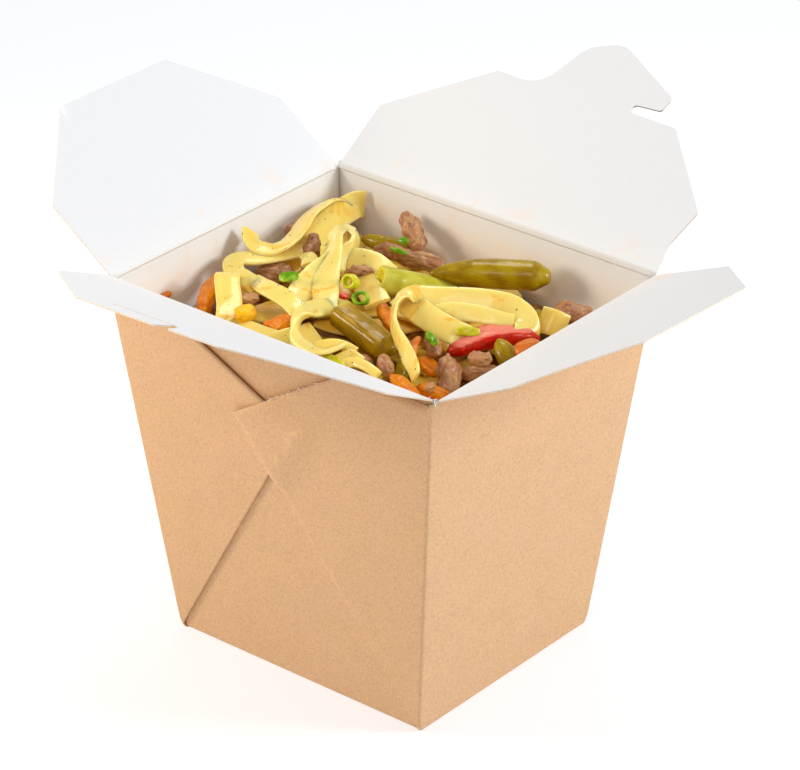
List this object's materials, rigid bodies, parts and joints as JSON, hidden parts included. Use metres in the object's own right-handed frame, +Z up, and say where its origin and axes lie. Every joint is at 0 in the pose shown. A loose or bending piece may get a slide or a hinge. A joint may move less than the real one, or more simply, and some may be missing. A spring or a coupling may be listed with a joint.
{
  "type": "takeaway noodle box",
  "caption": "Open folded kraft paperboard food box with four hinged lid flaps, filled with flat noodles, green beans, beef strips, carrot and red pepper.",
  "frame": {"origin": "centre of the underside, on the surface it stands on", "axes": "+Z up; the two folded (gusseted) faces look along -Y and +Y, the two plain faces along -X and +X"},
  "size_m": [0.1892, 0.1847, 0.1347],
  "materials": {
    "kraft_board": "matte",
    "white_board": "matte",
    "noodle": "satin",
    "green_bean": "satin",
    "beef": "satin",
    "carrot": "satin",
    "red_pepper": "satin"
  },
  "bodies": {
    "root": {"carton": "kraft_board", "noodle_heap": "noodle", "bean_long": "green_bean", "bean_light": "green_bean", "bean_cut": "green_bean", "bean_back": "green_bean", "bean_tip": "green_bean", "bean_dark": "green_bean", "bean_under": "green_bean", "bean_shadow": "green_bean", "meat_upright": "beef", "meat_back": "beef", "meat_left": "beef", "meat_stem": "beef", "meat_corner": "beef", "meat_right": "beef", "meat_point": "beef", "meat_front": "beef", "meat_lobes": "beef", "meat_purple": "beef", "meat_side": "beef", "carrot_crescent": "carrot", "carrot_centre": "carrot", "carrot_stick": "carrot", "carrot_front": "carrot", "carrot_corner": "carrot", "carrot_side": "carrot", "pepper_red": "red_pepper"},
    "dust_flap_back": {"dust_flap_back": "white_board"},
    "dust_flap_front": {"dust_flap_front": "white_board"},
    "slotted_flap": {"slotted_flap": "white_board"},
    "hooked_flap": {"hooked_flap": "white_board"}
  },
  "joints": [
    {"name": "back_dust_crease", "type": "hinge", "parent": "root", "child": "dust_flap_back", "pos_m": [-0.0528, 0, 0.1026], "axis": [0, 1, 0], "range_deg": [-80, 145]},
    {"name": "front_dust_crease", "type": "hinge", "parent": "root", "child": "dust_flap_front", "pos_m": [0.0528, 0, 0.1026], "axis": [0, -1, 0], "range_deg": [-69, 156.6]},
    {"name": "slotted_crease", "type": "hinge", "parent": "root", "child": "slotted_flap", "pos_m": [0, -0.0445, 0.1032], "axis": [-1, 0, 0], "range_deg": [-55, 151.3]},
    {"name": "hooked_crease", "type": "hinge", "parent": "root", "child": "hooked_flap", "pos_m": [0, 0.0445, 0.1032], "axis": [1, 0, 0], "range_deg": [-61, 142]}
  ]
}
